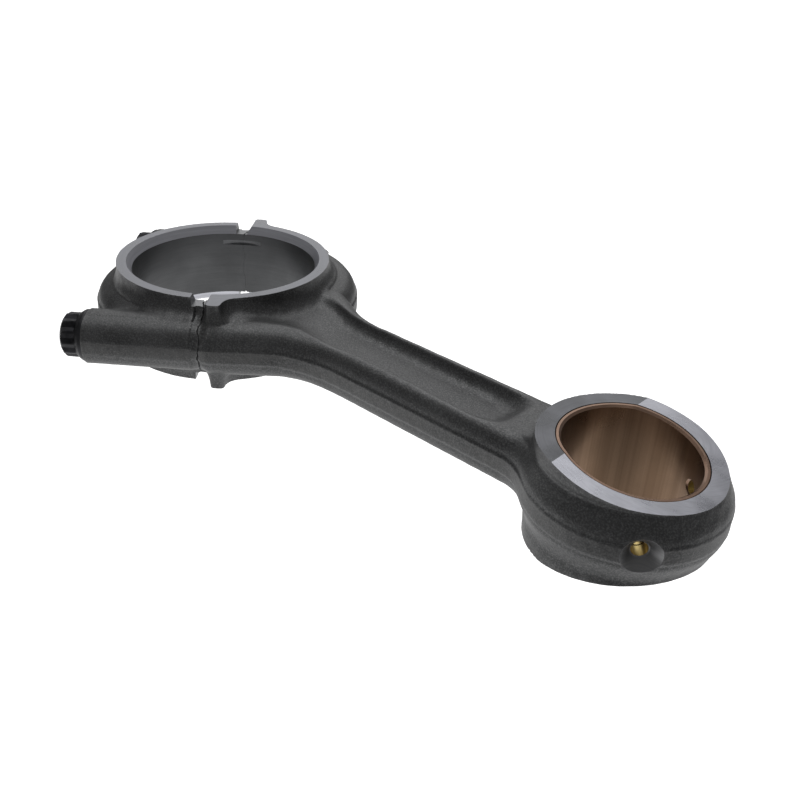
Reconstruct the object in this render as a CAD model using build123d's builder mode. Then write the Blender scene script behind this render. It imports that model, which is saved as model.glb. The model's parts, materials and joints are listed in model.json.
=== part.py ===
from build123d import *
from math import cos, radians, sin, tan
import os

# Fracture-split connecting rod of a heavy diesel engine, lying on its side.
# Origin: centre of the big-end bore at mid-width. +X runs to the small end, +Z along both bores.
# The big end is split obliquely, so the bolts and the cap have their own direction in the XY plane.

# Driving dimensions, mm and degrees
centre_distance = 256.0
width = 46.0  # over the thrust faces of both ends
split_angle = 40.0  # bolt direction, turned from +X towards +Y
parting_half = 3.3  # half height of the forging's flat parting band
draft = 5.0

# Big end
big_bore_r = 49.5
big_chamfer_r = 52.0
big_chamfer_depth = 4.4
ring_r = 57.3
belt_r = 68.5
belt_half = 12.0
trough_cap_top = 4.4
trough_cap_floor = 3.9
trough_rod_floor = 2.2
trough_rod_top = 5.0
trough_depth = 4.4
lug_start = 4.6
lug_width = 7.4
lug_reach = 65.5
lug_round = 2.5

# Bolts and their bosses, measured from the bore centre across and along the bolt direction
bolt_side = 60.5
boss_r = 13.5
seat_back = 55.5
near_boss_end = 42.0
far_boss_end = 43.0
far_cone_end = 55.0
far_cone_r = 4.0
bolt_r = 7.0
bolt_clearance_r = 7.5
tapped_r = 7.05
near_hole_depth = 39.0
bolt_tip = 35.0
thread_start = 3.0
thread_pitch = 1.5
thread_depth = 0.85
waist_r = 6.3
waist_start = -44.0
waist_end = -6.0
flange_r = 13.3
flange_edge = 1.8
flange_thick = 3.8
flange_slope = 1.2
head_across_corners_r = 11.6
head_height = 8.4
head_dish_r = 6.2
head_dish_depth = 1.2
tip_chamfer = 1.2

# Shank
beam_half_width = 21.8
beam_half_height = 11.0
shoulder_x = 92.0
shank_round = 30.0
pocket_floor = 5.6
pocket_half = 12.0
pocket_start = 72.0
pocket_end = 201.0
pocket_mouth_half = 15.0
pocket_neck_x = 86.0
pocket_draft = 28.0
pocket_round = 7.0
ramp_start = 72.0
shelf_end = 104.0
far_shoulder_r = 72.4
far_shoulder_from = 27.0
far_shoulder_to = 72.0
far_strip_end = 46.0
far_strip_inner = 52.0
far_corner_round = 9.0

# Small end
eye_r = 42.0
eye_face_r = 38.3
eye_shoulder = 12.0
eye_round = 28.0
beam_stub = 90.0
bush_r = 30.5
pin_bore_r = 28.0
keystone_angle = 9.5
keystone_before_centre = 14.0
oil_hole_r = 3.3
oil_sink_r = 8.6
oil_hole_angle = 50.5

# Notch for the bearing shells' tangs, cut by a disc cutter
tang_low = 11.9
tang_height = 2.8
tang_depth = 1.2
tang_centre = 1.5
tang_cutter_r = 24.0

half = width / 2
towards_rod = Vector(cos(radians(split_angle)), sin(radians(split_angle)), 0)
towards_near = Vector(sin(radians(split_angle)), -cos(radians(split_angle)), 0)
split_plane = Plane(origin=(0, 0, 0), x_dir=towards_near, z_dir=towards_rod)
# Seen along the bores, with its own X along the bolts and its own Y towards the far side
bolt_view = Plane(origin=(0, 0, 0), x_dir=towards_rod, z_dir=(0, 0, 1))
# Seen from the near side along the split, with its own X along the bolts and its own Y up
split_view = Plane(origin=(0, 0, 0), x_dir=towards_rod, z_dir=towards_near)


def along_bolts(distance, side):
    """Point at a distance along the bolt direction, and offset sideways towards the near side."""
    return towards_rod * distance + towards_near * side


def flat(point):
    """A point's X and Y, for a sketch that lies square to the bores."""
    return (point.X, point.Y)


def bolt_plane(distance, side):
    """Plane square to the bolt direction, facing the small end."""
    return Plane(origin=along_bolts(distance, side), x_dir=towards_near, z_dir=towards_rod)


def shank_outline(level):
    """Big-end shelf, bosses, splayed shank and beam, as one face at a height."""
    boss_outer = bolt_side + boss_r
    boss_inner = bolt_side - boss_r
    near_neck = (shoulder_x, -beam_half_width)
    far_neck = (shoulder_x, beam_half_width)
    shoulder_arc = []
    for part in (0, 0.5, 1):
        angle = radians(far_shoulder_from + part * (far_shoulder_to - far_shoulder_from))
        shoulder_arc.append((far_shoulder_r * cos(angle), far_shoulder_r * sin(angle)))
    with BuildSketch(Plane.XY.offset(level)) as outline:
        Circle(belt_r)
        with BuildLine():
            Polyline(
                shoulder_arc[2],
                flat(along_bolts(far_strip_end, -far_strip_inner)),
                flat(along_bolts(far_strip_end, -boss_outer)),
                flat(along_bolts(-seat_back, -boss_outer)),
                flat(along_bolts(-seat_back, -boss_inner)),
                flat(along_bolts(-seat_back, boss_inner)),
                flat(along_bolts(-seat_back, boss_outer)),
                flat(along_bolts(near_boss_end, boss_outer)),
                near_neck,
                (centre_distance, -beam_half_width),
                (centre_distance, beam_half_width),
                far_neck,
                shoulder_arc[0],
            )
            ThreePointArc(*shoulder_arc)
        make_face()
        fillet(outline.vertices().sort_by_distance(near_neck + (level,))[0], shank_round)
        fillet(outline.vertices().sort_by_distance(far_neck + (level,))[0], shank_round)
        far_corner = along_bolts(far_strip_end, -boss_outer) + Vector(0, 0, level)
        fillet(outline.vertices().sort_by_distance(far_corner)[0], far_corner_round)
    return outline.sketch


def eye_outline(level, radius):
    """Small-end eye and the end of the beam that flares into it, at a height."""
    with BuildSketch(Plane.XY.offset(level)) as outline:
        with Locations((centre_distance, 0)):
            Circle(radius)
        with Locations((centre_distance - beam_stub / 2, 0)):
            Rectangle(beam_stub, 2 * beam_half_width)
        joins = outline.vertices().group_by(Axis.X)[1]
        fillet(joins, eye_round)
    return outline.sketch


# The whole forging, machined in one piece before it is cracked into rod and cap
with BuildPart() as forging:
    # Parting band, then the drafted shelf and beam above and below it
    extrude(shank_outline(0), amount=parting_half, both=True)
    extrude(eye_outline(0, eye_r), amount=parting_half, both=True)
    extrude(shank_outline(parting_half), amount=beam_half_height - parting_half, taper=draft)
    extrude(eye_outline(parting_half, eye_face_r), amount=beam_half_height - parting_half, taper=draft)
    # The shelf around the big end stands a little higher than the beam
    with BuildSketch(Plane.XY.offset(parting_half)) as shelf:
        add(shank_outline(parting_half))
        with Locations((centre_distance, 0)):
            Rectangle(2 * (centre_distance - shelf_end), 4 * belt_r, mode=Mode.SUBTRACT)
    extrude(amount=belt_half - parting_half, taper=draft)
    with BuildSketch(Plane.XZ) as ramp:
        with BuildLine():
            Polyline(
                (ramp_start, belt_half),
                (shelf_end, beam_half_height),
                (shelf_end + 1, beam_half_height),
                (shelf_end + 1, belt_half + 1),
                (ramp_start, belt_half + 1),
                close=True,
            )
        make_face()
    extrude(amount=2 * belt_r, both=True, mode=Mode.SUBTRACT)
    mirror(about=Plane.XY)
    # Bolt bosses
    for side, boss_end in ((bolt_side, near_boss_end - boss_r), (-bolt_side, far_boss_end)):
        with BuildSketch(bolt_plane(-seat_back, side)) as boss:
            Circle(boss_r)
        extrude(amount=seat_back + boss_end)
    # The far boss runs out as a cone
    with BuildSketch(bolt_plane(far_boss_end, -bolt_side)):
        Circle(boss_r)
    with BuildSketch(bolt_plane(far_cone_end, -bolt_side)):
        Circle(far_cone_r)
    loft()
    # Eye: a drafted cone each way, then the straight land under the machined face
    with BuildSketch(Plane.XZ) as eye_section:
        with BuildLine():
            Polyline(
                (centre_distance, -half),
                (centre_distance + eye_face_r, -half),
                (centre_distance + eye_face_r, -eye_shoulder),
                (centre_distance + eye_r, -parting_half),
                (centre_distance + eye_r, parting_half),
                (centre_distance + eye_face_r, eye_shoulder),
                (centre_distance + eye_face_r, half),
                (centre_distance, half),
                close=True,
            )
        make_face()
    revolve(axis=Axis((centre_distance, 0, 0), (0, 0, 1)))
    # Thrust ring and the four locating lugs beside the split
    with BuildSketch() as ring:
        Circle(ring_r)
    extrude(amount=half, both=True)
    with BuildSketch(bolt_view) as lugs:
        with Locations((lug_start + lug_width / 2, 0)):
            RectangleRounded(lug_width, 2 * lug_reach, lug_round)
    extrude(amount=half, both=True)

    # Big-end bore with its two lead-in chamfers, and the plain bore for the bush
    with BuildSketch(Plane.XZ) as bore_section:
        with BuildLine():
            Polyline(
                (0, -half),
                (big_chamfer_r, -half),
                (big_bore_r, big_chamfer_depth - half),
                (big_bore_r, half - big_chamfer_depth),
                (big_chamfer_r, half),
                (0, half),
                close=True,
            )
        make_face()
    revolve(axis=Axis.Z, mode=Mode.SUBTRACT)
    with BuildSketch() as bush_seat:
        with Locations((centre_distance, 0)):
            Circle(bush_r)
    extrude(amount=half, both=True, mode=Mode.SUBTRACT)

    # Keystone faces: the small end narrows towards its tip
    taper_x = centre_distance - keystone_before_centre
    taper_run = eye_r + 2 * keystone_before_centre
    taper_fall = taper_run * tan(radians(keystone_angle))
    for facing in (1, -1):
        with BuildSketch(Plane.XZ) as wedge:
            with BuildLine():
                Polyline(
                    (taper_x, facing * half),
                    (taper_x + taper_run, facing * (half - taper_fall)),
                    (taper_x + taper_run, facing * half),
                    close=True,
                )
            make_face()
        extrude(amount=2 * eye_r, both=True, mode=Mode.SUBTRACT)

    # Pockets of the I-section, drafted out from their floors
    with BuildSketch(Plane.XY.offset(pocket_floor)) as pocket:
        with BuildLine():
            Polyline(
                (pocket_start, pocket_mouth_half),
                (pocket_neck_x, pocket_half),
                (pocket_end, pocket_half),
                (pocket_end, -pocket_half),
                (pocket_neck_x, -pocket_half),
                (pocket_start, -pocket_mouth_half),
                close=True,
            )
        make_face()
        fillet(pocket.vertices(), pocket_round)
    upper_pocket = extrude(amount=boss_r - pocket_floor, taper=-pocket_draft, mode=Mode.SUBTRACT)
    mirror(upper_pocket, about=Plane.XY, mode=Mode.SUBTRACT)

    # Troughs that start the crack, across both thrust faces on both sides of the bore
    for facing in (1, -1):
        with BuildSketch(split_view) as trough:
            with BuildLine():
                Polyline(
                    (-trough_cap_top, facing * half),
                    (-trough_cap_floor, facing * (half - trough_depth)),
                    (trough_rod_floor, facing * (half - trough_depth)),
                    (trough_rod_top, facing * half),
                    close=True,
                )
            make_face()
        extrude(amount=belt_r, both=True, mode=Mode.SUBTRACT)

    # Bolt holes: clear in the cap, tapped in the rod, blind on the near side
    for side in (bolt_side, -bolt_side):
        with BuildSketch(bolt_plane(-seat_back, side)) as clearance:
            Circle(bolt_clearance_r)
        extrude(amount=seat_back + thread_start, mode=Mode.SUBTRACT)
    for side, depth in ((bolt_side, near_hole_depth), (-bolt_side, far_cone_end + boss_r)):
        with BuildSketch(bolt_plane(0, side)) as tapped:
            Circle(tapped_r)
        extrude(amount=depth, mode=Mode.SUBTRACT)

    # Two oil holes into the small end, each with a wide countersink
    for angle in (oil_hole_angle, -oil_hole_angle):
        outwards = Vector(cos(radians(angle)), sin(radians(angle)), 0)
        with Locations(Plane(origin=Vector(centre_distance, 0, 0) + outwards * eye_r, z_dir=outwards)):
            CounterSinkHole(oil_hole_r, oil_sink_r, depth=eye_r - pin_bore_r + 2)

    # Notch for the shells' tangs, milled across the split into the far wall of the bore
    with BuildSketch(Plane.XY.offset(tang_low)) as tang:
        with Locations(along_bolts(tang_centre, -big_bore_r + tang_cutter_r - tang_depth)):
            Circle(tang_cutter_r)
        Circle(big_bore_r - tang_depth, mode=Mode.SUBTRACT)
    extrude(amount=tang_height, mode=Mode.SUBTRACT)


with BuildPart() as rod_body:
    add(forging.part)
    split(bisect_by=split_plane, keep=Keep.TOP)

with BuildPart() as bearing_cap:
    add(forging.part)
    split(bisect_by=split_plane, keep=Keep.BOTTOM)

# Bronze bush, cut to the same keystone faces and drilled through for oil
with BuildPart() as small_end_bush:
    with BuildSketch() as bush_ring:
        with Locations((centre_distance, 0)):
            Circle(bush_r)
            Circle(pin_bore_r, mode=Mode.SUBTRACT)
    extrude(amount=half, both=True)
    for facing in (1, -1):
        with BuildSketch(Plane.XZ) as bush_wedge:
            with BuildLine():
                Polyline(
                    (taper_x, facing * half),
                    (taper_x + taper_run, facing * (half - taper_fall)),
                    (taper_x + taper_run, facing * half),
                    close=True,
                )
            make_face()
        extrude(amount=2 * eye_r, both=True, mode=Mode.SUBTRACT)
    for angle in (oil_hole_angle, -oil_hole_angle):
        outwards = Vector(cos(radians(angle)), sin(radians(angle)), 0)
        with BuildSketch(Plane(origin=(centre_distance, 0, 0), z_dir=outwards)) as oil_drill:
            Circle(oil_hole_r)
        extrude(amount=eye_r, mode=Mode.SUBTRACT)


def make_bolt(side):
    """Flanged bolt with a twelve-point head, a waisted shank and a rolled thread."""
    thread_turns = int((bolt_tip - thread_start - 2 * tip_chamfer) / thread_pitch)
    root_r = bolt_r - thread_depth
    with BuildPart() as bolt:
        with BuildSketch(Plane(origin=along_bolts(0, side), x_dir=towards_near, z_dir=(0, 0, 1))) as section:
            # In this plane +Y is the bolt direction and +X the radius
            with BuildLine():
                outline = [
                    (0, -seat_back - flange_thick),
                    (flange_r - flange_slope, -seat_back - flange_thick),
                    (flange_r, -seat_back - flange_edge),
                    (flange_r, -seat_back),
                    (bolt_r, -seat_back),
                    (bolt_r, waist_start),
                    (waist_r, waist_start + bolt_r - waist_r),
                    (waist_r, waist_end - bolt_r + waist_r),
                    (bolt_r, waist_end),
                    (bolt_r, thread_start),
                ]
                for turn in range(thread_turns):
                    crest = thread_start + turn * thread_pitch
                    outline.append((root_r, crest + thread_pitch / 2))
                    outline.append((bolt_r, crest + thread_pitch))
                outline.append((bolt_r - tip_chamfer, bolt_tip))
                outline.append((0, bolt_tip))
                Polyline(*outline, close=True)
            make_face()
        revolve(axis=Axis(tuple(along_bolts(0, side)), tuple(towards_rod)))
        with BuildSketch(bolt_plane(-seat_back - flange_thick, side)) as points_of_head:
            RegularPolygon(head_across_corners_r, 6)
            RegularPolygon(head_across_corners_r, 6, rotation=30)
        extrude(amount=-head_height)
        with BuildSketch(bolt_plane(-seat_back - flange_thick - head_height, side)) as dish:
            Circle(head_dish_r)
        extrude(amount=head_dish_depth, mode=Mode.SUBTRACT)
    return bolt


near_cap_bolt = make_bolt(bolt_side)
far_cap_bolt = make_bolt(-bolt_side)

os.makedirs("parts", exist_ok=True)
rod_body.part.label = "rod_body"
bearing_cap.part.label = "bearing_cap"
small_end_bush.part.label = "small_end_bush"
near_cap_bolt.part.label = "near_cap_bolt"
far_cap_bolt.part.label = "far_cap_bolt"
export_step(rod_body.part, "parts/rod_body.step")
export_step(bearing_cap.part, "parts/bearing_cap.step")
export_step(small_end_bush.part, "parts/small_end_bush.step")
export_step(near_cap_bolt.part, "parts/near_cap_bolt.step")
export_step(far_cap_bolt.part, "parts/far_cap_bolt.step")
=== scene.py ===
# Looks of the oblique fracture-split connecting rod.
# The forging is grown from a distance field, cut by the machined shapes, then cracked into rod and cap.
# Distances in the shape code are millimetres in the row frame; MM turns them into Blender's metres.

import json
from math import cos, pi, radians, sin, tan

import bmesh
import bpy
import numpy as np
from mathutils import Matrix, Vector


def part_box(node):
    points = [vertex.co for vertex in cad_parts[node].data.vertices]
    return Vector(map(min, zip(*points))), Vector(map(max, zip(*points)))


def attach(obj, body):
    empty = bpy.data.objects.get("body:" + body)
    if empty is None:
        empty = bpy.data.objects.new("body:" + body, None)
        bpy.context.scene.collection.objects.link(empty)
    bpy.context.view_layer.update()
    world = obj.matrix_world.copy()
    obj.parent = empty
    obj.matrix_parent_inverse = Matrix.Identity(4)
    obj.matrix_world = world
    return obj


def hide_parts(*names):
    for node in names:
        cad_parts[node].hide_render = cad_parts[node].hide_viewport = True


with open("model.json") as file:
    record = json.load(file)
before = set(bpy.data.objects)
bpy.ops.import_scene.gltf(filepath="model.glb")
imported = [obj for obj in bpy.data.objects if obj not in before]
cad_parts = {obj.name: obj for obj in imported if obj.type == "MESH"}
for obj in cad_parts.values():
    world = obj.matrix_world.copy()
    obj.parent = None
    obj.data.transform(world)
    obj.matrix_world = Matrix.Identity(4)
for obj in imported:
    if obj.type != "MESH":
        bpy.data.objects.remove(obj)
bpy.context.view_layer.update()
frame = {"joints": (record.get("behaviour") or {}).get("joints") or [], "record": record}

MM = 0.001

# ---------------------------------------------------------------- sizes read from the frame
CAD_NODES = ("rod_body", "bearing_cap", "small_end_bush", "near_cap_bolt", "far_cap_bolt")
boxes = [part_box(node) for node in CAD_NODES]
LOW = [min(low[k] for low, high in boxes) / MM for k in range(3)]
HIGH = [max(high[k] for low, high in boxes) / MM for k in range(3)]
mounts = {m["name"]: m for m in frame["record"]["mounts"]}
joints = {j["name"]: j for j in frame["joints"]}
HALF = HIGH[2]
EYE_X = mounts["pin_bore"]["pos_m"][0] / MM
PIN_R = mounts["pin_bore"]["dims"]["r_mm"]
BORE_R = mounts["big_end_bore"]["dims"]["r_mm"]
BORE_STRAIGHT = mounts["big_end_bore"]["dims"]["length_mm"] / 2
release = joints["cap_release"]["axis"]
ALONG = Vector((-release[0], -release[1], 0)).normalized()  # from the cap towards the rod
ACROSS = Vector((ALONG.y, -ALONG.x, 0))  # towards the near side
bush_low, bush_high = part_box("small_end_bush")
BUSH_R = (bush_high.y - bush_low.y) / 2 / MM

# ---------------------------------------------------------------- driving dimensions
# Big end: thrust ring, shelf below it, and the parting band round the whole forging
RING_R = 57.3
RING_DRAFT = 0.05
CHAMFER_R = 52.0
BELT_R, BELT_TO = 68.5, 10.0  # the cap's outer wall, and how far it runs past the split
SHELF_R, SHELF_FROM = 73.2, 5.0  # the rod side of the shelf reaches further out
SHELF_TOP = 14.0
SHELF_CAP = 12.7  # on the cap
SHELF_LOW = 10.7
BAND = 3.3  # half height of the parting band
BAND_PROUD = 0.35
FLANK = 13.0  # width of the rounded flank of the big end
BEAM_FLANK = 7.5

# Bolt bosses, measured along the bolts from the split and across them from the bore's centre
BOLT_SIDE = 60.5
BOSS_R = 13.5
SEAT = -55.5
BOSS_START = SEAT - 9  # stock that the bolt seats are milled out of
NEAR_BOSS_END = 42.0
FAR_STRIP_END = 41.0
FAR_STRIP_INSET = 7.0
FAR_CORNER_R = 9.0
FAR_CONE_TIP = 60.0
FAR_CONE_SLOPE = 0.65
CLEARANCE_R = 7.5
TAPPED_R = 7.05
NEAR_HOLE = 39.0
# Where the splayed neck runs out into the beam and the far shoulder, in X and Y
NECK = ((120, -10.2), (112, 11.1), (58, 38.1))

# Beam and its pocket
BEAM_START = 60.0
BEAM_Y = 21.8
BEAM_TOP = 12.5
POCKET_FLOOR = 5.7
POCKET_END = 203.0
POCKET_CORNER = 10.0
POCKET_HALF = 14.8  # half width at the small end
# X along the beam, and how far the pocket's edge lies from the centre line there
NEAR_RIM = (80, 100, 122, 150, 197), (16.0, 15.3, 13.6, 14.0, 15.6)
FAR_RIM = (60, 70, 82, 118, 150), (19.0, 20.0, 17.2, 16.3, 15.4)

# Small end
EYE_R = 42.0
EYE_FACE_R = 38.3
EYE_BAND_R = EYE_R - 0.6
EYE_CORE_R = EYE_R - 12  # the shank's own rounded end, hidden in the eye
GROOVE_AT, GROOVE_WIDTH = 15.6, 1.9
GROOVE_ABOVE, GROOVE_BELOW = 1.0, 0.2  # depth on the upper and the lower side
KEY_ANGLE = radians(9.5)
KEY_X = EYE_X - 14.0
OIL_ANGLE = radians(50.5)
OIL_R = 3.3
SINK_R = 8.6

# Beside the split
LUG_FROM, LUG_TO, LUG_REACH = 4.6, 12.0, 65.5
LUG_ROUND, LUG_DRAFT = 2.0, 0.03
TROUGH_CAP, TROUGH_ROD = (-4.4, -3.9), (5.0, 2.2)  # along the bolts, at the face and at the floor
TROUGH_DEPTH = 4.4
TANG_LOW, TANG_HEIGHT, TANG_DEPTH, TANG_R = 11.9, 2.8, 1.5, 24.0
TANG_SHIFT = -0.3

# Bolts
HEAD_R = 11.5
HEAD_FLAT = HEAD_R * cos(pi / 6)
HEAD_TOP = SEAT - 12.2
FLANGE_R = 13.2
SHANK_R = 6.95
WAIST_R, WAIST_FROM, WAIST_TO = 6.3, -44.0, -6.0
PILOT_R = 6.9
THREAD_FROM, THREAD_TIP = 3.0, 35.0
THREAD_R, THREAD_DEPTH = 6.98, 0.85
PITCH = 1.5

WANDER = 0.06  # how far a die surface strays from true
STAND_OFF = 120.0  # height above the light table
FAR_OFF = 6000.0  # reach of the floor and the backdrop

STEP = 1.1  # spacing of the field grid
GRID_MARGIN = 6.0
CRACK_STEP = 0.6
CRACK_GAP = 0.05
BEYOND = 20.0  # how far a cutter reaches past a face


# ---------------------------------------------------------------- distance field of the forging
def blend_min(a, b, k):
    """Union of two distance fields with a fillet of about k."""
    h = np.clip(0.5 + 0.5 * (b - a) / k, 0, 1)
    return b + (a - b) * h - k * h * (1 - h)


def blend_max(a, b, k):
    """Intersection of two distance fields with a rounded edge of about k."""
    return -blend_min(-a, -b, k)


def box_distance(u, v, u0, u1, v0, v1):
    """Signed distance to a rectangle, negative inside."""
    du = np.maximum(u0 - u, u - u1)
    dv = np.maximum(v0 - v, v - v1)
    return np.hypot(np.maximum(du, 0), np.maximum(dv, 0)) + np.minimum(np.maximum(du, dv), 0)


def polygon_distance(u, v, points):
    """Signed distance to a closed polygon, negative inside."""
    nearest = np.full(u.shape, 1e12)
    inside = np.zeros(u.shape, bool)
    for (ax, ay), (bx, by) in zip(points, points[1:] + points[:1]):
        ex, ey = bx - ax, by - ay
        s = np.clip(((u - ax) * ex + (v - ay) * ey) / (ex * ex + ey * ey), 0, 1)
        nearest = np.minimum(nearest, (u - ax - s * ex) ** 2 + (v - ay - s * ey) ** 2)
        if ay != by:
            inside ^= ((ay > v) != (by > v)) & (u < ex * (v - ay) / ey + ax)
    return np.sqrt(nearest) * np.where(inside, -1, 1)


def smooth_step(low, high, value):
    """Eased rise from 0 at low to 1 at high."""
    s = np.clip((value - low) / (high - low), 0, 1)
    return s * s * (3 - 2 * s)


def at_bolts(distance, side):
    """X and Y of a point along the bolts and across them, towards the near side."""
    p = ALONG * distance + ACROSS * side
    return (p.x, p.y)


def planform(x, y, n, t, eye_r):
    """Outline of the forging at its parting plane."""
    inner = BOLT_SIDE - BOSS_R
    outer = BOLT_SIDE + BOSS_R
    neck = polygon_distance(x, y, [
        at_bolts(-20, inner), at_bolts(-20, outer), at_bolts(NEAR_BOSS_END, outer),
        *NECK, at_bolts(20, -inner), at_bolts(-20, -inner),
    ])
    near = box_distance(n, t, BOSS_START, NEAR_BOSS_END, inner, outer)
    far_end = FAR_STRIP_END - FAR_CORNER_R
    far = box_distance(n, -t, BOSS_START, far_end, inner + FAR_STRIP_INSET, outer - FAR_CORNER_R)
    far = np.minimum(far - FAR_CORNER_R, box_distance(n, -t, BOSS_START, 20, inner, outer))
    around = np.hypot(x, y)
    belt = np.maximum(around - BELT_R, n - BELT_TO)
    disc = np.minimum(belt, np.maximum(around - SHELF_R, SHELF_FROM - n))
    big_end = np.minimum(blend_min(disc, np.minimum(near, far), 8.0), neck)
    beam = box_distance(x, y, BEAM_START, EYE_X, -BEAM_Y, BEAM_Y)
    eye = np.hypot(x - EYE_X, y) - eye_r
    return np.minimum(blend_min(big_end, beam, 8.0), blend_min(beam, eye, 11.0))


def pocket_field(x, y, height):
    """Pocket of the I-section, negative where hollow; towards the big end it fades into the low shelf."""
    near_rim = np.interp(x, *NEAR_RIM) + 0.5 * np.clip(NEAR_RIM[0][0] - x, 0, None)
    far_rim = np.interp(x, *FAR_RIM)
    rim = np.maximum(-y - near_rim, y - far_rim)
    back = POCKET_END - POCKET_CORNER
    half = POCKET_HALF - POCKET_CORNER
    end = np.hypot(np.maximum(x - back, 0), np.maximum(np.abs(y) - half, 0)) - POCKET_CORNER
    sides = np.where(x > back, np.maximum(end, rim), np.maximum(rim, x - POCKET_END))
    floor = POCKET_FLOOR + (SHELF_LOW - POCKET_FLOOR) * smooth_step(93, 58, x)
    top = SHELF_TOP + (BEAM_TOP - SHELF_TOP) * smooth_step(66, 104, x)
    slant = np.where(y > 0, 0.22, 0.32 + 0.9 * smooth_step(100, 70, x)) + 0.9 * smooth_step(180, 204, x)
    walls = (sides - (height - top) * slant) / np.sqrt(1 + slant ** 2)
    return blend_max(walls, floor - height, 7.0)


def forging(x, y, z):
    """Distance to the surface of the whole forging, before any machining."""
    n = x * ALONG.x + y * ALONG.y
    t = x * ACROSS.x + y * ACROSS.y
    side = np.abs(t)
    height = np.abs(z)

    # Shank, shelf and beam, with rounded top edges
    top = SHELF_CAP + (SHELF_TOP - SHELF_CAP) * smooth_step(0, 25, n)
    top = top + (BEAM_TOP - SHELF_TOP) * smooth_step(66, 104, x)
    flank = FLANK + (BEAM_FLANK - FLANK) * smooth_step(82, 108, x)
    rise = np.clip((height - BAND) / (top + 0.4 - BAND), 0, 0.985)
    lean = BAND_PROUD + flank * (1 - np.sqrt(1 - rise ** 2))
    body = blend_max(planform(x, y, n, t, EYE_CORE_R) + lean, height - top, 3.0)
    body = blend_max(body, -pocket_field(x, y, height), 2.4)

    # Bolt bosses are round bars that stand a little above the shelf
    bar = np.hypot(side - BOLT_SIDE, z)
    near_boss = blend_max(bar - BOSS_R, n - NEAR_BOSS_END + 14, 12.0)
    cone = 0.84 * (bar - FAR_CONE_SLOPE * (FAR_CONE_TIP - n))
    far_boss = blend_max(bar - BOSS_R, cone, 6.0)
    boss = np.maximum(np.where(t > 0, near_boss, far_boss), BOSS_START - n)
    body = blend_min(body, boss, 3.0)

    # Thrust ring
    ring = np.hypot(x, y) - RING_R - (HALF - height) * RING_DRAFT
    body = blend_min(body, np.maximum(ring, height - HALF - 1), 9.0)

    # Locating lugs beside the split
    lug = box_distance(n, side, LUG_FROM + LUG_ROUND, LUG_TO - LUG_ROUND, 40, LUG_REACH - LUG_ROUND)
    lug = lug - LUG_ROUND - (HALF - height) * LUG_DRAFT
    body = blend_min(body, np.maximum(lug, height - HALF - 1), 7.0)

    # Small-end eye, waisted under its faces and fullest at the parting band
    swell = (EYE_BAND_R - EYE_FACE_R) * smooth_step(14.5, 5.0, height)
    groove = np.where(z > 0, GROOVE_ABOVE, GROOVE_BELOW)
    swell = swell - groove * np.exp(-((height - GROOVE_AT) / GROOVE_WIDTH) ** 2)
    eye = np.hypot(x - EYE_X, y) - EYE_FACE_R - swell
    body = blend_min(body, np.maximum(eye * 0.94, height - HALF - 1), 9.0)

    # Trimmed flash line, a flat band just proud of the drafted sides
    band = blend_max(planform(x, y, n, t, EYE_BAND_R), height - BAND, 0.6)
    body = blend_min(body, band, 2.0)

    # Shallow relief ground into the outer walls before the joint is cracked
    relief = smooth_step(-2.6, -1.4, n) * smooth_step(6.5, 2.5, n)
    body = body + relief * smooth_step(BOLT_SIDE - 8, BOLT_SIDE - 4, side)

    # A die surface is never quite true
    wander = np.sin(x * 0.31 + 1.3 * np.sin(y * 0.23)) * np.sin(y * 0.27 + 0.9 * np.sin(z * 0.35 + 2.0))
    wander = wander + 0.5 * np.sin(x * 0.83 + y * 0.61 + 2.1 * np.sin(z * 0.3))
    return body + WANDER * wander


# ---------------------------------------------------------------- meshes from fields and profiles
def mesh_object(name, vertices, faces):
    """Object from arrays in millimetres."""
    mesh = bpy.data.meshes.new(name)
    mesh.from_pydata((np.asarray(vertices, float) * MM).tolist(), [], [list(map(int, f)) for f in faces])
    mesh.update()
    piece = bpy.data.objects.new(name, mesh)
    bpy.context.scene.collection.objects.link(piece)
    return piece


def pull(field, points, step):
    """One Newton step towards the surface, never further than a third of a cell."""
    here = field(*points.T)
    slope = np.zeros_like(points)
    for axis in range(3):
        moved = points.copy()
        moved[:, axis] += 0.05
        slope[:, axis] = (field(*moved.T) - here) / 0.05
    move = here[:, None] * slope / np.maximum((slope ** 2).sum(1), 0.3)[:, None]
    length = np.linalg.norm(move, axis=1)
    return points - move * np.minimum(1, step / 3 / np.maximum(length, 1e-9))[:, None]


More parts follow.
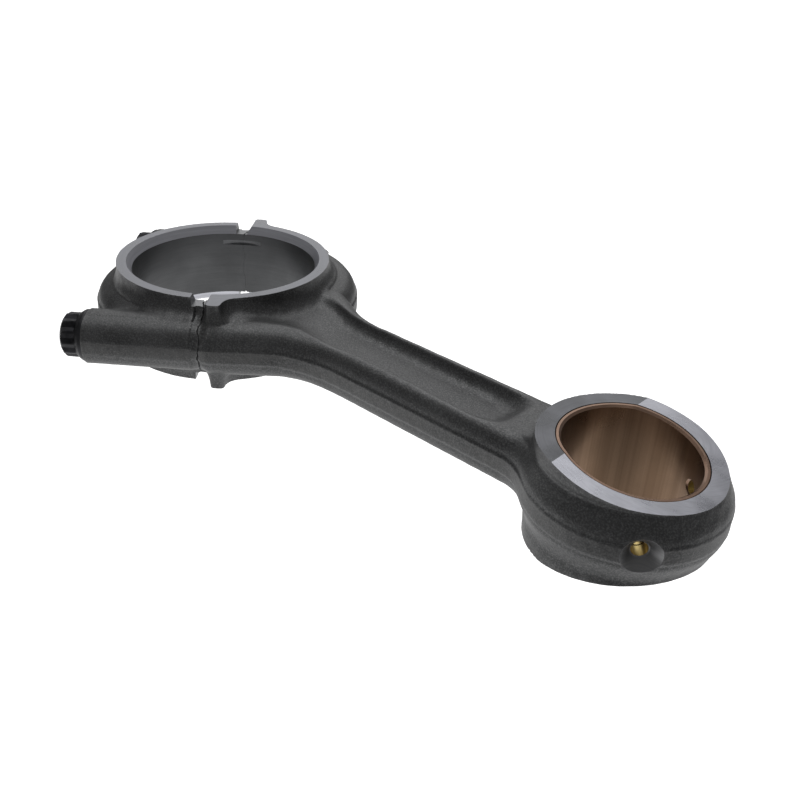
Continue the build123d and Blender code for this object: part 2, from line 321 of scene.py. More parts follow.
def surface_net(field, low, high, step):
    """Closed quad mesh on field = 0, its points pulled onto the true surface."""
    axes = [np.arange(a, b + step, step) for a, b in zip(low, high)]
    value = np.stack([field(*np.meshgrid([x], axes[1], axes[2], indexing="ij"))[0] for x in axes[0]])
    solid = value < 0
    size = [n - 1 for n in value.shape]
    corners = [(i, j, k) for i in (0, 1) for j in (0, 1) for k in (0, 1)]
    count = np.zeros(size, np.int8)
    for i, j, k in corners:
        count += solid[i:i + size[0], j:j + size[1], k:k + size[2]]
    cells = np.argwhere((count > 0) & (count < 8))
    number = np.full(size, -1, np.int64)
    number[tuple(cells.T)] = np.arange(len(cells))

    # Each point is the mean of where its cell's edges cross the surface
    total = np.zeros((len(cells), 3))
    hits = np.zeros((len(cells), 1))
    for a in corners:
        for axis in range(3):
            if a[axis]:
                continue
            b = list(a)
            b[axis] = 1
            va = value[tuple((cells + a).T)]
            vb = value[tuple((cells + b).T)]
            cross = (va < 0) != (vb < 0)
            point = np.tile(np.array(a, float), (len(cells), 1))
            point[:, axis] = va / np.where(cross, va - vb, 1)
            total += point * cross[:, None]
            hits += cross[:, None]
    points = (cells + total / hits) * step + np.array(low)

    # One quad for every grid edge that crosses the surface
    quads = []
    for axis in range(3):
        u, v = (axis + 1) % 3, (axis + 2) % 3
        first = np.take(solid, range(solid.shape[axis] - 1), axis)
        second = np.take(solid, range(1, solid.shape[axis]), axis)
        for turn, mask in ((1, first & ~second), (-1, ~first & second)):
            at = np.argwhere(mask)
            ring = []
            for du, dv in ((-1, -1), (0, -1), (0, 0), (-1, 0))[::turn]:
                cell = at.copy()
                cell[:, u] += du
                cell[:, v] += dv
                ring.append(number[tuple(cell.T)])
            quads.append(np.stack(ring, 1))
    for _ in range(3):
        points = pull(field, points, step)
    return points, np.concatenate(quads)


def lathe(name, profile, place=Matrix.Identity(4), segments=192):
    """Closed solid of revolution about its own Z; the profile is (radius, z) from axis to axis."""
    vertices, faces, rings = [], [], []
    for r, z in profile:
        start = len(vertices)
        if r < 1e-6:
            vertices.append((0, 0, z))
        else:
            turns = [2 * pi * i / segments for i in range(segments)]
            vertices += [(r * cos(turn), r * sin(turn), z) for turn in turns]
        rings.append(list(range(start, len(vertices))))
    for low, high in zip(rings, rings[1:]):
        for i in range(segments):
            j = (i + 1) % segments
            if len(low) == 1:
                faces.append((low[0], high[j], high[i]))
            elif len(high) == 1:
                faces.append((low[i], low[j], high[0]))
            else:
                faces.append((low[i], low[j], high[j], high[i]))
    return mesh_object(name, [tuple(place @ Vector(v)) for v in vertices], faces)


def prism(name, points, low, high, place=Matrix.Identity(4)):
    """Closed prism over an outline in its own XY, from z low to z high."""
    count = len(points)
    vertices = [(u, v, low) for u, v in points] + [(u, v, high) for u, v in points]
    faces = [tuple(range(count))[::-1], tuple(range(count, 2 * count))]
    faces += [(i, (i + 1) % count, count + (i + 1) % count, count + i) for i in range(count)]
    return mesh_object(name, [tuple(place @ Vector(v)) for v in vertices], faces)


def facing(origin, z_axis, x_axis):
    """Placement whose own Z and X point the given ways."""
    z = Vector(z_axis).normalized()
    x = Vector(x_axis).normalized()
    place = Matrix((x, z.cross(x), z)).transposed().to_4x4()
    place.translation = Vector(origin)
    return place


def outward(piece):
    """Turns every face outwards."""
    work = bmesh.new()
    work.from_mesh(piece.data)
    bmesh.ops.recalc_face_normals(work, faces=work.faces)
    work.to_mesh(piece.data)
    work.free()
    return piece


def split_large_faces(mesh):
    """Triangulates every face of more than four corners."""
    work = bmesh.new()
    work.from_mesh(mesh)
    bmesh.ops.triangulate(work, faces=[f for f in work.faces if len(f.verts) > 4])
    work.to_mesh(mesh)
    work.free()


def carve(piece, cutter, finish):
    """Cuts one solid out of another at once; the new faces take the finish, and the cutter is used up."""
    outward(cutter)
    cutter.data.materials.append(finish)
    step = piece.modifiers.new("carve", "BOOLEAN")
    step.operation = "DIFFERENCE"
    step.solver = "MANIFOLD"
    step.material_mode = "TRANSFER"
    step.object = cutter
    bpy.context.view_layer.update()
    result = bpy.data.meshes.new_from_object(piece.evaluated_get(bpy.context.evaluated_depsgraph_get()))
    piece.modifiers.clear()
    old = piece.data
    piece.data = result
    split_large_faces(result)
    bpy.data.meshes.remove(old)
    bpy.data.objects.remove(cutter)
    return piece


def shade(piece, sharp_angle):
    """Smooth shading that keeps edges over the given angle crisp."""
    mesh = piece.data
    mesh.shade_smooth()
    mesh.set_sharp_from_angle(angle=radians(sharp_angle))
    return piece


def field_slope(field, points):
    """Unit outward normals of a field's surface."""
    slope = np.zeros_like(points)
    for axis in range(3):
        ahead, behind = points.copy(), points.copy()
        ahead[:, axis] += 0.2
        behind[:, axis] -= 0.2
        slope[:, axis] = field(*ahead.T) - field(*behind.T)
    return slope / np.maximum(np.linalg.norm(slope, axis=1), 1e-9)[:, None]


def read(collection, attribute, kind=np.int64, width=1):
    """One attribute of every vertex, corner or face of a mesh."""
    values = np.zeros(len(collection) * width, kind)
    collection.foreach_get(attribute, values)
    return values.reshape(-1, width) if width > 1 else values


def radial_from(points, origin, direction):
    """Unit vectors straight out from an axis through each point."""
    offset = points - origin
    radial = offset - np.outer(offset @ direction, direction)
    return radial / np.maximum(np.linalg.norm(radial, axis=1), 1e-9)[:, None]


def true_normals(piece, field, grown, axes, turned):
    """Shading normals from the shapes: the field's on grown skin, and round their axis on turned faces."""
    mesh = piece.data
    mesh.shade_smooth()
    vertex_of = read(mesh.loops, "vertex_index")
    place = read(mesh.vertices, "co", float, 3) / MM
    facing_way = read(mesh.polygons, "normal", float, 3)
    middle = read(mesh.polygons, "center", float, 3) / MM
    slot_of = read(mesh.polygons, "material_index")
    faces = len(mesh.polygons)
    turned_names = [m.name for m in turned]
    names = [m.name for m in mesh.materials]
    is_grown = np.isin(slot_of, [i for i, name in enumerate(names) if name == grown.name])
    is_turned = np.isin(slot_of, [i for i, name in enumerate(names) if name in turned_names])
    face_of = np.repeat(np.arange(faces), read(mesh.polygons, "loop_total"))
    normals = facing_way[face_of]

    spots = place[vertex_of]
    at = is_grown[face_of]
    used, back_to = np.unique(vertex_of[at], return_inverse=True)
    slope = field_slope(field, place[used])[back_to]
    trusted = (slope * normals[at]).sum(1) > 0.35
    normals[at] = np.where(trusted[:, None], slope, normals[at])

    # Each turned face belongs to the axis whose radial plane holds its normal best
    axes = [(np.array(origin), np.array(direction)) for origin, direction in axes]
    fit = np.full(faces, -1.0)
    owner = np.zeros(faces, np.int64)
    for k, (origin, direction) in enumerate(axes):
        radial = radial_from(middle, origin, direction)
        score = (facing_way @ direction) ** 2 + (facing_way * radial).sum(1) ** 2
        owner = np.where(score > fit + 1e-4, k, owner)
        fit = np.maximum(fit, score)
    for k, (origin, direction) in enumerate(axes):
        at = (is_turned & (owner == k))[face_of]
        radial = radial_from(spots[at], origin, direction)
        own = normals[at]
        axial = (own @ direction)[:, None]
        turn = np.sign((own * radial).sum(1))[:, None]
        exact = direction * axial + radial * turn * np.sqrt(np.maximum(1 - axial ** 2, 0))
        normals[at] = np.where(np.abs(axial) > 0.999, own, exact)
    mesh.normals_split_custom_set(normals.tolist())
    return piece


# ---------------------------------------------------------------- materials
class Finish:
    """A procedural material: short names for the nodes that every finish here is made of."""

    def __init__(self, name, metallic, roughness, colour=(0.1, 0.1, 0.1), specular=0.5):
        self.material = bpy.data.materials.new(name)
        self.material.use_nodes = True
        self.tree = self.material.node_tree
        self.shader = self.tree.nodes["Principled BSDF"]
        self.shader.inputs["Metallic"].default_value = metallic
        self.shader.inputs["Roughness"].default_value = roughness
        self.shader.inputs["Specular IOR Level"].default_value = specular
        self.shader.inputs["Base Color"].default_value = (*colour, 1)
        self.where = self.node("ShaderNodeTexCoord").outputs["Object"]
        self.normal = None

    def node(self, kind, **inputs):
        """Adds a node and sets or links its inputs by name."""
        made = self.tree.nodes.new(kind)
        for name, value in inputs.items():
            self.put(made.inputs[name.replace("_", " ")], value)
        return made

    def put(self, socket, value):
        """Links another socket, or sets a plain value."""
        if isinstance(value, bpy.types.NodeSocket):
            self.tree.links.new(value, socket)
        else:
            socket.default_value = value

    def noise(self, size, detail=3.0, stretch=(1, 1, 1), source=None, roughness=0.55):
        """Noise whose grains are about size millimetres across."""
        mapping = self.node("ShaderNodeMapping", Vector=source or self.where)
        mapping.inputs["Scale"].default_value = tuple(s / (size * MM) for s in stretch)
        made = self.node("ShaderNodeTexNoise", Vector=mapping.outputs[0], Detail=detail, Roughness=roughness)
        made.inputs["Scale"].default_value = 1.0
        return made.outputs[0]

    def span(self, value, low, high, to_low=0.0, to_high=1.0):
        """Maps low..high onto to_low..to_high, clamped."""
        made = self.node("ShaderNodeMapRange")
        for socket, number in zip(made.inputs[:5], (value, low, high, to_low, to_high)):
            self.put(socket, number)
        return made.outputs[0]

    def sums(self, kind, *values):
        """One arithmetic step."""
        made = self.node("ShaderNodeMath")
        made.operation = kind
        for socket, value in zip(made.inputs, values):
            self.put(socket, value)
        return made.outputs[0]

    def mix(self, share, first, second):
        """Blends two colours."""
        made = self.node("ShaderNodeMix")
        made.data_type = "RGBA"
        self.put(made.inputs[0], share)
        for socket, value in zip(made.inputs[6:8], (first, second)):
            self.put(socket, value if isinstance(value, bpy.types.NodeSocket) else (*value, 1))
        return made.outputs[2]

    def polar(self, centre, reach):
        """Coordinates round an upright axis: radius, angle times reach, height, in metres."""
        shifted = self.node("ShaderNodeVectorMath", Vector=self.where)
        shifted.operation = "SUBTRACT"
        shifted.inputs[1].default_value = (centre[0] * MM, centre[1] * MM, 0)
        parts = self.node("ShaderNodeSeparateXYZ", Vector=shifted.outputs[0])
        x, y, z = parts.outputs
        radius = self.sums("SQRT", self.sums("ADD", self.sums("MULTIPLY", x, x), self.sums("MULTIPLY", y, y)))
        turn = self.sums("MULTIPLY", self.sums("ARCTAN2", y, x), reach * MM)
        joined = self.node("ShaderNodeCombineXYZ", X=radius, Y=turn, Z=z)
        return joined.outputs[0]

    def bump(self, height, depth, strength=1.0):
        """Adds relief of about depth millimetres."""
        made = self.node("ShaderNodeBump", Height=height, Strength=strength, Distance=depth * MM)
        if self.normal:
            self.put(made.inputs["Normal"], self.normal)
        self.normal = made.outputs[0]

    def done(self, colour, roughness):
        """Joins colour, roughness and the stacked relief to the shader."""
        self.put(self.shader.inputs["Base Color"], colour)
        self.put(self.shader.inputs["Roughness"], roughness)
        self.put(self.shader.inputs["Normal"], self.normal)
        return self.material


def forged_finish():
    """Shot-blasted, oiled forging skin: fine dimples, mottling, and a brighter sheared flash line."""
    f = Finish("forged_skin", metallic=0.8, roughness=0.5)
    grit = f.noise(0.7, detail=4)
    dimples = f.noise(1.3, detail=2)
    cloud = f.noise(26, detail=4)
    streak = f.noise(6, detail=3, stretch=(0.25, 0.25, 1.6))
    height = f.sums("ABSOLUTE", f.node("ShaderNodeSeparateXYZ", Vector=f.where).outputs[2])
    sheared = f.span(height, (BAND - 0.1) * MM, (BAND - 0.5) * MM)
    worn = f.span(f.node("ShaderNodeNewGeometry").outputs["Pointiness"], 0.505, 0.56)
    base = f.mix(f.span(cloud, 0.35, 0.68), (0.058, 0.0585, 0.0595), (0.086, 0.087, 0.088))
    base = f.mix(f.span(grit, 0.45, 0.68, 0.0, 0.75), base, (0.165, 0.166, 0.168))
    base = f.mix(f.span(dimples, 0.60, 0.80, 0.0, 0.5), base, (0.022, 0.0222, 0.0226))
    sheared = f.sums("MULTIPLY", sheared, f.span(streak, 0.35, 0.65, 0.1, 0.5))
    base = f.mix(sheared, base, (0.115, 0.114, 0.113))
    base = f.mix(f.sums("MULTIPLY", worn, 0.35), base, (0.19, 0.19, 0.193))
    rough = f.span(cloud, 0.3, 0.7, 0.42, 0.54)
    f.bump(cloud, 0.25, 0.35)
    f.bump(dimples, 0.16, 0.7)
    f.bump(grit, 0.07, 0.9)
    return f.done(base, rough)


def turned_finish(name, centre, dark, light, roughness, across=0.35):
    """A face ground or turned about an upright axis: fine rings with faint lay and smears."""
    f = Finish(name, metallic=0.9, roughness=roughness)
    round_axis = f.polar(centre, 55)
    rings = f.noise(across, detail=2, stretch=(1, 0.006, 1), source=round_axis)
    lay = f.noise(2.6, detail=3, stretch=(1, 0.03, 1), source=round_axis)
    smear = f.noise(17, detail=3)
    fleck = f.noise(0.9, detail=2)
    base = f.mix(f.span(smear, 0.3, 0.7), dark, light)
    base = f.mix(f.span(rings, 0.4, 0.75, 0, 0.35), base, tuple(c * 0.72 for c in dark))
    base = f.mix(f.span(fleck, 0.66, 0.8, 0, 0.25), base, tuple(c * 0.6 for c in dark))
    f.bump(rings, 0.012, 0.8)
    f.bump(lay, 0.02, 0.5)
    return f.done(base, f.span(smear, 0.3, 0.7, roughness - 0.05, roughness + 0.07))


def bored_finish(name, centre, dark, light, roughness, pitch, upright=False):
    """A bored wall: tool marks round the axis, or streaks along it where the bush was drawn and broached."""
    f = Finish(name, metallic=0.95, roughness=roughness)
    wall = f.polar(centre, 50)
    marks = (0.02, 0.02, 1) if not upright else (0.02, 1, 0.012)
    lines = f.noise(pitch, detail=3, stretch=marks, source=wall)
    broad = f.noise(pitch * 9, detail=3, stretch=marks, source=wall)
    cloud = f.noise(19, detail=3)
    base = f.mix(f.span(broad, 0.3, 0.7), dark, light)
    base = f.mix(f.span(lines, 0.45, 0.8, 0, 0.4), base, tuple(c * 0.6 for c in dark))
    base = f.mix(f.span(cloud, 0.4, 0.8, 0, 0.3), base, tuple(c * 0.8 for c in light))
    f.bump(lines, 0.01, 0.7)
    return f.done(base, f.span(cloud, 0.3, 0.7, roughness - 0.05, roughness + 0.08))


def fracture_finish():
    """Cracked faces: bright crystalline grain, never machined."""
    f = Finish("fracture_grain", metallic=0.6, roughness=0.55)
    grain = f.noise(0.5, detail=5, roughness=0.7)
    ridge = f.noise(3.5, detail=4)
    base = f.mix(f.span(grain, 0.35, 0.7), (0.07, 0.07, 0.072), (0.27, 0.27, 0.28))
    base = f.mix(f.span(ridge, 0.45, 0.75, 0, 0.5), base, (0.05, 0.05, 0.052))
    f.bump(ridge, 0.3, 0.6)
    f.bump(grain, 0.22, 0.9)
    return f.done(base, f.span(grain, 0.3, 0.7, 0.42, 0.7))


def oxide_finish():
    """Black oxide over rolled and turned steel, rubbed brighter on its edges."""
    f = Finish("black_oxide", metallic=0.75, roughness=0.42)
    film = f.noise(3.2, detail=4)
    fine = f.noise(0.4, detail=3)
    worn = f.span(f.node("ShaderNodeNewGeometry").outputs["Pointiness"], 0.52, 0.62)
    base = f.mix(f.span(film, 0.35, 0.7), (0.010, 0.010, 0.012), (0.026, 0.026, 0.030))
    base = f.mix(f.sums("MULTIPLY", worn, 0.5), base, (0.12, 0.12, 0.125))
    f.bump(fine, 0.03, 0.6)
    return f.done(base, f.span(film, 0.3, 0.75, 0.34, 0.52))


BIG_END, SMALL_END = (0, 0), (EYE_X, 0)
skin = forged_finish()
thrust_face = turned_finish("ground_big_end", BIG_END, (0.16, 0.163, 0.178), (0.21, 0.214, 0.236), 0.30)
eye_face = turned_finish("ground_small_end", SMALL_END, (0.08, 0.082, 0.088), (0.15, 0.153, 0.167), 0.30)
# Painted highlight: the keystone faces get a far brighter base colour than the other ground faces, standing
# in for light they reflect.
key_face_painted_bright = turned_finish(
    "milled_keystone_painted_highlight", (EYE_X + 6, 20), (0.40, 0.405, 0.445), (0.52, 0.525, 0.575), 0.28, across=0.8)
bore_wall = bored_finish("bored_big_end", BIG_END, (0.100, 0.102, 0.105), (0.112, 0.114, 0.117), 0.36, 0.25)
drilled = bored_finish("drilled_steel", SMALL_END, (0.20, 0.20, 0.204), (0.29, 0.29, 0.295), 0.42, 0.3)
# Painted highlight: the chamfer's base colour is far brighter than the bore wall's, standing in for light it
# reflects from the front.
chamfer_painted_bright = bored_finish("bored_chamfer_painted_highlight", BIG_END, (0.42, 0.425, 0.46), (0.54, 0.545, 0.59), 0.44, 0.3)
slot_cut = turned_finish("milled_slot", (90, 60), (0.16, 0.163, 0.17), (0.24, 0.243, 0.25), 0.36, across=0.6)
cracked = fracture_finish()
oxide = oxide_finish()
bronze = bored_finish(
    "bush_bore", SMALL_END, (0.14, 0.088, 0.055), (0.22, 0.145, 0.095), 0.30, 1.6, upright=True)
bronze_rim = turned_finish("bush_rim", SMALL_END, (0.22, 0.14, 0.10), (0.30, 0.195, 0.14), 0.28)
brass = bored_finish("oil_hole_lining", SMALL_END, (0.44, 0.34, 0.13), (0.60, 0.49, 0.24), 0.38, 0.4)

# ---------------------------------------------------------------- the forging, machined
layers = int((HALF + 4) / STEP) + 1
field_low = (LOW[0] - GRID_MARGIN, LOW[1] - GRID_MARGIN, -layers * STEP)
field_high = (HIGH[0] + GRID_MARGIN, HIGH[1] + GRID_MARGIN, layers * STEP)
points, quads = surface_net(forging, field_low, field_high, STEP)
rough = mesh_object("forging", points, quads)
rough.data.materials.append(skin)
outward(rough)


def keystone(turn):
    """Wedge milled off one side of the small end, thinning it towards its tip."""
    tip = EYE_X + 74
    drop = (tip - KEY_X) * tan(KEY_ANGLE)
    outline = [(KEY_X, HALF), (tip, HALF - drop), (tip, HALF + BEYOND), (KEY_X, HALF + BEYOND)]
    if turn < 0:
        outline = [(x, -z) for x, z in outline[::-1]]
    return prism("keystone", outline, -60, 60, facing((0, 0, 0), (0, -1, 0), (1, 0, 0)))


def slab(turn, low_x, high_x):
    """Everything beyond one thrust face, over part of the length."""
    z = (HALF, HALF + BEYOND) if turn > 0 else (-HALF - BEYOND, -HALF)
    return prism("slab", [(low_x, -130), (high_x, -130), (high_x, 130), (low_x, 130)], *z)


def trough(turn, side):
    """Slot milled across one thrust face along the split."""
    clear = 3  # above the face
    top, floor = (HALF + clear) * turn, (HALF - TROUGH_DEPTH) * turn
    beyond = 1 + clear / TROUGH_DEPTH
    (cap_top, cap_floor), (rod_top, rod_floor) = TROUGH_CAP, TROUGH_ROD
    outline = [(cap_floor + (cap_top - cap_floor) * beyond, top), (cap_floor, floor)]
    outline += [(rod_floor, floor), (rod_floor + (rod_top - rod_floor) * beyond, top)]
    place = facing((0, 0, 0), ACROSS, ALONG)
    outline = [(n, -z if (place @ Vector((0, 1, 0))).z < 0 else z) for n, z in outline]
    return prism("trough", outline, *((44, 72) if side > 0 else (-72, -44)), place)


def along_bolt(side, origin=0.0):
    """Placement on one bolt's line, its Z towards the rod."""
    return facing((ALONG * origin + ACROSS * BOLT_SIDE * side), ALONG, (0, 0, 1))


def oil_axis(side):
    """Direction of one oil hole, outwards from the eye."""
    return Vector((cos(OIL_ANGLE), -sin(OIL_ANGLE) * side, 0))


def threaded(radius, start, end, depth, pitch):
    """Zigzag profile of an internal thread."""
    profile = []
    for i in range(int((end - start) / pitch)):
        z = start + i * pitch
        profile += [(radius - depth, z + pitch * 0.12), (radius, z + pitch * 0.5)]
        profile.append((radius - depth, z + pitch * 0.88))
    return profile


for turn in (1, -1):
    carve(rough, slab(turn, -130, 150), thrust_face)
    carve(rough, slab(turn, 149, 340), eye_face)
    carve(rough, keystone(turn), key_face_painted_bright)
past = HALF + 6
bore = [(0, -past), (BORE_R, -past), (BORE_R, past), (0, past)]
carve(rough, lathe("bore", bore, segments=288), bore_wall)
chamfer_slope = (CHAMFER_R - BORE_R) / (HALF - BORE_STRAIGHT)
for turn in (1, -1):
    lead_in = [(0, BORE_STRAIGHT - 2), (BORE_R - 1.1, BORE_STRAIGHT - 2), (BORE_R, BORE_STRAIGHT)]
    lead_in += [(CHAMFER_R, HALF), (CHAMFER_R + 6 * chamfer_slope, past), (0, past)]
    lead_in = [(r, z * turn) for r, z in lead_in][::turn]
    carve(rough, lathe("lead_in", lead_in, segments=288), chamfer_painted_bright)
bush_seat = [(0, -30), (BUSH_R, -30), (BUSH_R, 30), (0, 30)]
carve(rough, lathe("seat", bush_seat, Matrix.Translation((EYE_X, 0, 0)), 224), drilled)
for turn in (1, -1):
    for side in (1, -1):
        carve(rough, trough(turn, side), slot_cut)
for side in (1, -1):
    # Bolt seat, clearance hole and tapped hole
    sides = (BOLT_SIDE * side - 18, BOLT_SIDE * side + 18)
    seat = [(SEAT - 22, -22), (SEAT, -22), (SEAT, 22), (SEAT - 22, 22)]
    carve(rough, prism("seat", seat, *sides, facing((0, 0, 0), ACROSS, ALONG)), slot_cut)
    end = NEAR_HOLE if side > 0 else FAR_CONE_TIP + 4
    hole = [(0, SEAT - 6), (CLEARANCE_R + 6.6, SEAT - 6), (CLEARANCE_R, SEAT + 0.6)]
    hole += [(CLEARANCE_R, 2.2), (TAPPED_R, 3.0)]
    hole += threaded(TAPPED_R, 4.0, end - 4, 0.75, PITCH)
    hole += [(TAPPED_R - 0.4, end - 3.0), (TAPPED_R - 0.4, end), (0, end + 3.5)]
    carve(rough, lathe("hole", hole, along_bolt(side), 72), drilled)
    # Countersunk oil hole
    sink = EYE_R - (SINK_R - OIL_R)
    across = facing((EYE_X, 0, 0), oil_axis(side), (0, 0, 1))
    cone = [(0, sink - 0.5), (OIL_R - 0.4, sink - 0.5), (OIL_R + 0.5, sink)]
    cone += [(SINK_R, EYE_R), (SINK_R + 6, EYE_R + 6), (0, EYE_R + 6)]
    carve(rough, lathe("cone", cone, across, 96), drilled)
    carve(rough, lathe("oil", [(0, 20), (OIL_R, 20), (OIL_R, EYE_R), (0, EYE_R)], across, 96), brass)
tang_high = TANG_LOW + TANG_HEIGHT
notch = [(0, TANG_LOW), (TANG_R - 0.3, TANG_LOW), (TANG_R, TANG_LOW + 0.3)]
notch += [(TANG_R, tang_high), (0, tang_high)]
notch_centre = ALONG * TANG_SHIFT - ACROSS * (BORE_R + TANG_DEPTH - TANG_R)
carve(rough, lathe("notch", notch, Matrix.Translation(notch_centre), 128), slot_cut)


# ---------------------------------------------------------------- the crack that parts rod and cap
def crack(t, z):
    """How far along the bolts the crack lies at each point of the split."""
    side = np.abs(t)
    drift = 2.5 * smooth_step(50, 60, side) - 1.2 * smooth_step(60, 74, side) * smooth_step(4, 14, np.abs(z))
    drift = drift + 1.0 * smooth_step(10, 22, np.abs(z)) * smooth_step(66, 52, side)
    fine = np.sin(z * 1.9 + 2.3 * np.sin(t * 0.7)) * 0.16 + np.sin(z * 0.83 + t * 1.7) * 0.2
    coarse = np.sin(z * 0.37 + 1.4 * np.sin(t * 0.31)) * 0.5
    return drift + fine + coarse


def cracked_block(toward_rod, offset):
    """Cutter for everything on one side of the crack, whose lips are chipped where it reaches the skin."""
    ts = np.concatenate(([-130.0], np.arange(-78, 78.1, CRACK_STEP), [250.0]))
    zs = np.arange(-27, 27.1, CRACK_STEP)
    grid_t, grid_z = np.meshgrid(ts, zs, indexing="ij")
    line = crack(grid_t, grid_z)
    x = ALONG.x * line + ACROSS.x * grid_t
    y = ALONG.y * line + ACROSS.y * grid_t
    depth = np.minimum(-forging(x, y, grid_z), HALF - TROUGH_DEPTH - np.abs(grid_z))
    chip = 0.34 * smooth_step(1.1, 0.0, depth)
    jitter = np.random.default_rng(7).normal(0, 0.08, grid_t.shape)
    face = line + jitter + (offset + chip) * (-1 if toward_rod else 1)
    back = np.full(face.shape, 360.0 if toward_rod else -140.0)
    rows, columns = face.shape
    vertices = []
    for n in (face, back):
        flat = zip(n.ravel(), grid_t.ravel(), grid_z.ravel())
        vertices += [tuple(ALONG * a + ACROSS * b + Vector((0, 0, c))) for a, b, c in flat]
    total = rows * columns
    faces = []
    for i in range(rows - 1):
        for j in range(columns - 1):
            a = i * columns + j
            faces.append((a, a + 1, a + columns + 1, a + columns))
            faces.append((total + a, total + a + columns, total + a + columns + 1, total + a + 1))
    rim = [i * columns for i in range(rows)] + [total - columns + j for j in range(1, columns)]
    rim += [i * columns + columns - 1 for i in range(rows - 2, -1, -1)] + list(range(columns - 2, 0, -1))
    faces += [(a, b, b + total, a + total) for a, b in zip(rim, rim[1:] + rim[:1])]
    return mesh_object("crack", vertices, faces)


turning_axes = [((0, 0, 0), (0, 0, 1)), ((EYE_X, 0, 0), (0, 0, 1))]
for side in (1, -1):
    turning_axes.append((tuple(ACROSS * BOLT_SIDE * side), tuple(ALONG)))
    turning_axes.append(((EYE_X, 0, 0), tuple(oil_axis(side))))
cap = rough.copy()
cap.data = rough.data.copy()
bpy.context.scene.collection.objects.link(cap)
rod = rough
rod.name, cap.name = "rod_forging", "cap_forging"
carve(rod, cracked_block(False, CRACK_GAP), cracked)
carve(cap, cracked_block(True, CRACK_GAP), cracked)
halves = ((rod, "rod", "rod_body", "forged_steel"), (cap, "cap", "bearing_cap", "forged_steel_cap"))
for piece, body, node, slot in halves:
    true_normals(piece, forging, skin, turning_axes, (bore_wall, chamfer_painted_bright, drilled))
    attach(piece, body)
    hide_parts(node)


# ---------------------------------------------------------------- bush
def bush():
    """Bronze bush whose ends follow the keystone faces, with broken edges and oil holes."""
    segments = 256
    section = [(PIN_R, 1.0), (PIN_R + 1.0, 0.14), (BUSH_R - 0.5, 0.14), (BUSH_R - 0.14, 0.6)]
    vertices, faces = [], []
    for turn in (1, -1):
        for r, below in section[::turn]:
            for i in range(segments):
                angle = 2 * pi * i / segments
                x, y = EYE_X + r * cos(angle), r * sin(angle)
                level = HALF - max(x - KEY_X, 0) * tan(KEY_ANGLE) - below
                vertices.append((x, y, level * turn))
    rings = 2 * len(section)
    for k in range(rings):
        a, b = k * segments, (k + 1) % rings * segments
        faces += [(a + i, a + (i + 1) % segments, b + (i + 1) % segments, b + i) for i in range(segments)]
    made = mesh_object("bronze_bush", vertices, faces)
    made.data.materials.append(bronze)
    made.data.materials.append(bronze_rim)
    outward(made)
    for face in made.data.polygons:
        face.material_index = int(abs(face.normal.z) > 0.3)
    for side in (1, -1):
        across = facing((EYE_X, 0, 0), oil_axis(side), (0, 0, 1))
        sink = [(0, 20), (OIL_R + 1.4, 20), (OIL_R + 1.4, PIN_R - 1)]
        sink += [(OIL_R - 0.8, PIN_R + 0.9), (0, PIN_R + 0.9)]
        carve(made, lathe("sink", sink, across, 64), bronze_rim)
        carve(made, lathe("oil", [(0, 20), (OIL_R - 0.3, 20), (OIL_R - 0.3, 40), (0, 40)], across, 64), brass)
    return made


liner = shade(bush(), 30)
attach(liner, "rod")
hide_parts("small_end_bush")


# ---------------------------------------------------------------- cap bolts
def twelve_point(angle):
    """Radius of a double hexagon, its corners slightly rounded."""
    folds = []
    for offset in (0, pi / 6):
        folded = (angle + offset + pi / 6) % (pi / 3) - pi / 6
        folds.append(HEAD_FLAT / cos(folded))
    return min(max(folds), HEAD_R * 0.985)


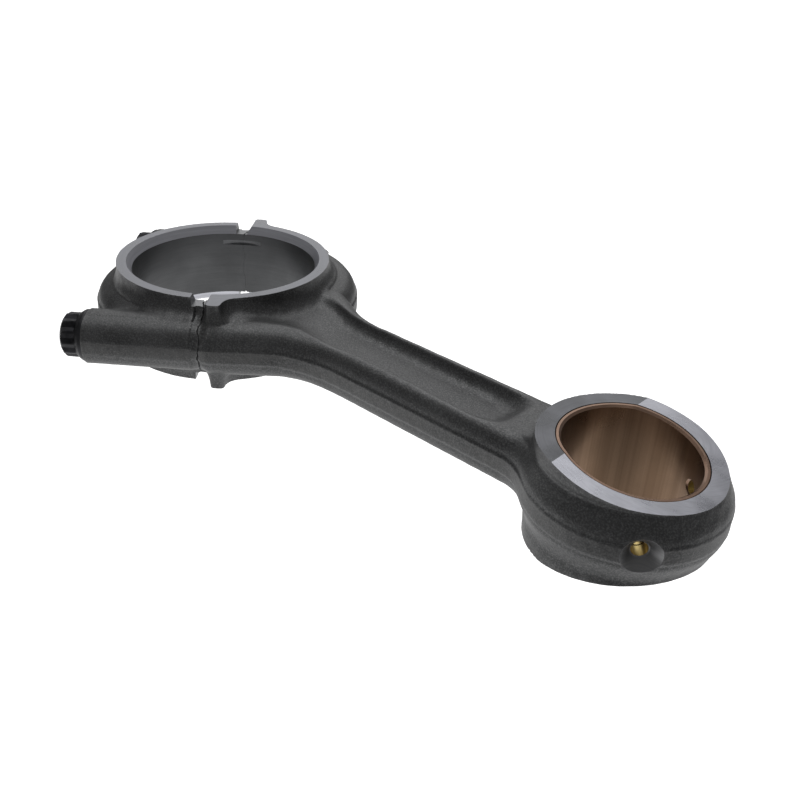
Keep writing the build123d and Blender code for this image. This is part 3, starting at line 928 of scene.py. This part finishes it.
def cap_bolt(name, side):
    """Flanged twelve-point bolt with a waisted shank and a rolled thread."""
    around = 144
    rings = []  # each ring is (distance along the bolt, radius of every angle)

    def circle(z, r):
        rings.append([(z, r)] * around)

    star = [twelve_point(2 * pi * i / around) for i in range(around)]
    # Dished end of the head, then its chamfered points down to the flange
    circle(HEAD_TOP + 1.2, 0.02)
    circle(HEAD_TOP + 1.2, 5.0)
    circle(HEAD_TOP + 0.9, 5.6)
    circle(HEAD_TOP + 0.05, 6.3)
    circle(HEAD_TOP, 6.7)
    circle(HEAD_TOP, HEAD_FLAT - 0.55)
    proud = [r - HEAD_FLAT for r in star]
    rings.append([(HEAD_TOP + max(0.12, (d + 0.32) * 0.62), HEAD_FLAT - 0.17 + d * 0.5) for d in proud])
    rings.append([(HEAD_TOP + max(0.35, (d + 0.52) * 0.75), HEAD_FLAT + d) for d in proud])
    rings.append([(SEAT - 4.9, r) for r in star])
    rings.append([(SEAT - 4.1, r * 0.4 + 11.9 * 0.6) for r in star])
    circle(SEAT - 3.75, FLANGE_R - 1.2)
    circle(SEAT - 2.3, FLANGE_R - 0.25)
    circle(SEAT - 1.8, FLANGE_R)
    circle(SEAT - 0.5, FLANGE_R)
    circle(SEAT - 0.02, FLANGE_R - 0.4)
    # Shank with its waist
    circle(SEAT - 0.02, SHANK_R + 0.65)
    circle(SEAT + 0.8, SHANK_R)
    circle(WAIST_FROM - 2, SHANK_R)
    circle(WAIST_FROM, WAIST_R)
    circle(WAIST_TO, WAIST_R)
    circle(WAIST_TO + 2, PILOT_R)
    circle(THREAD_FROM - 1, PILOT_R)
    # Helical thread that runs out at both ends
    thread_end = THREAD_TIP - 1.4
    for k in range(int((thread_end - THREAD_FROM) / PITCH * 8)):
        z = THREAD_FROM + k * PITCH / 8
        fade = min(1, (z - THREAD_FROM) / PITCH, (thread_end - z) / PITCH + 0.3)
        ring = []
        for i in range(around):
            phase = (z / PITCH - i / around) % 1
            cut = min(1, max(0, abs(phase * 2 - 1) * 1.3 - 0.12))
            ring.append((z, THREAD_R - THREAD_DEPTH * fade * cut))
        rings.append(ring)
    circle(THREAD_TIP - 1.3, 6.2)
    circle(THREAD_TIP, 5.2)
    circle(THREAD_TIP, 0.02)
    place = along_bolt(side)
    vertices = []
    for ring in rings:
        for i, (z, r) in enumerate(ring):
            angle = 2 * pi * i / around
            vertices.append(tuple(place @ Vector((r * cos(angle), r * sin(angle), z))))
    faces = []
    for k in range(len(rings) - 1):
        a, b = k * around, (k + 1) * around
        faces += [(a + i, a + (i + 1) % around, b + (i + 1) % around, b + i) for i in range(around)]
    faces.append(tuple(range(around)))
    faces.append(tuple(range((len(rings) - 1) * around, len(rings) * around))[::-1])
    made = mesh_object(name, vertices, faces)
    made.data.materials.append(oxide)
    return shade(outward(made), 28)


bolts = (
    ("near_bolt_detail", 1, "near_bolt", "near_cap_bolt"),
    ("far_bolt_detail", -1, "far_bolt", "far_cap_bolt"),
)
for name, side, body, node in bolts:
    bolt = cap_bolt(name, side)
    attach(bolt, body)
    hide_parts(node)


# ---------------------------------------------------------------- stage, light and camera
def white(name, glow):
    """Pale, softly glowing surface for the floor and the backdrop."""
    f = Finish(name, metallic=0.0, roughness=0.75, colour=(0.94, 0.94, 0.94), specular=0.1)
    f.shader.inputs["Emission Color"].default_value = (1, 1, 1, 1)
    f.shader.inputs["Emission Strength"].default_value = glow
    return f.material


def only_seen(surface):
    """Shows a stage surface to the camera and keeps its light off the object."""
    surface.visible_diffuse = surface.visible_glossy = surface.visible_shadow = False


ground = -HALF - STAND_OFF
corners = [(x * FAR_OFF, y * FAR_OFF, ground) for x, y in ((-1, -1), (1, -1), (1, 1), (-1, 1))]
floor = mesh_object("floor", corners, [(0, 1, 2, 3)])
floor.data.materials.append(white("pale_floor", 0.75))
only_seen(floor)
room = [(0, -FAR_OFF), (FAR_OFF, -FAR_OFF), (FAR_OFF, FAR_OFF), (0, FAR_OFF)]
backdrop = lathe("backdrop", room, segments=48)
backdrop.data.materials.append(white("pale_backdrop", 1.0))
only_seen(backdrop)

scene = bpy.context.scene
world = bpy.data.worlds.new("studio")
scene.world = world
world.use_nodes = True
world.node_tree.nodes["Background"].inputs["Color"].default_value = (1, 1, 1, 1)
world.node_tree.nodes["Background"].inputs["Strength"].default_value = 0.22


def broad_sun(name, toward, spread, strength):
    """Even light from a wide patch of sky."""
    light = bpy.data.lights.new(name, "SUN")
    light.angle = radians(spread)
    light.energy = strength
    lamp = bpy.data.objects.new(name, light)
    scene.collection.objects.link(lamp)
    lamp.rotation_mode = "QUATERNION"
    lamp.rotation_quaternion = Vector(toward).to_track_quat("Z", "Y")


def light_table(width, depth, behind, power):
    """Glowing table top under the object, set back so that the flanks towards its front edge stay dark."""
    light = bpy.data.lights.new("light_table", "AREA")
    light.shape = "RECTANGLE"
    light.size, light.size_y = width, depth
    light.energy = power
    lamp = bpy.data.objects.new("light_table", light)
    scene.collection.objects.link(lamp)
    front = Vector((0.66, -0.75, 0)).normalized()
    sideways = Vector((0.75, 0.66, 0)).normalized()
    middle = sideways * EYE_X * 0.3 * MM - front * behind
    lamp.matrix_world = facing((middle.x, middle.y, (ground + 2) * MM), (0, 0, -1), sideways)
    lamp.visible_camera = False


light_table(1.6, 1.0, 0.17, 4.5)
broad_sun("overhead", (-0.2, 0.23, 1.0), 50, 1.0)
broad_sun("behind", (-0.57, 0.65, 0.54), 54, 0.6)

camera = bpy.data.objects.new("camera", bpy.data.cameras.new("camera"))
scene.collection.objects.link(camera)
scene.camera = camera
camera.data.sensor_width = 36.0
camera.data.lens = 40.5
camera.data.clip_start, camera.data.clip_end = 0.01, 50
right = Vector((0.7306, 0.6811, 0.0494)).normalized()
back = Vector((0.5735, -0.6513, 0.4969)).normalized()
right = (right - back * right.dot(back)).normalized()
camera.matrix_world = facing((0.3833, -0.2827, 0.2053), back, right)

scene.view_settings.view_transform = "Standard"
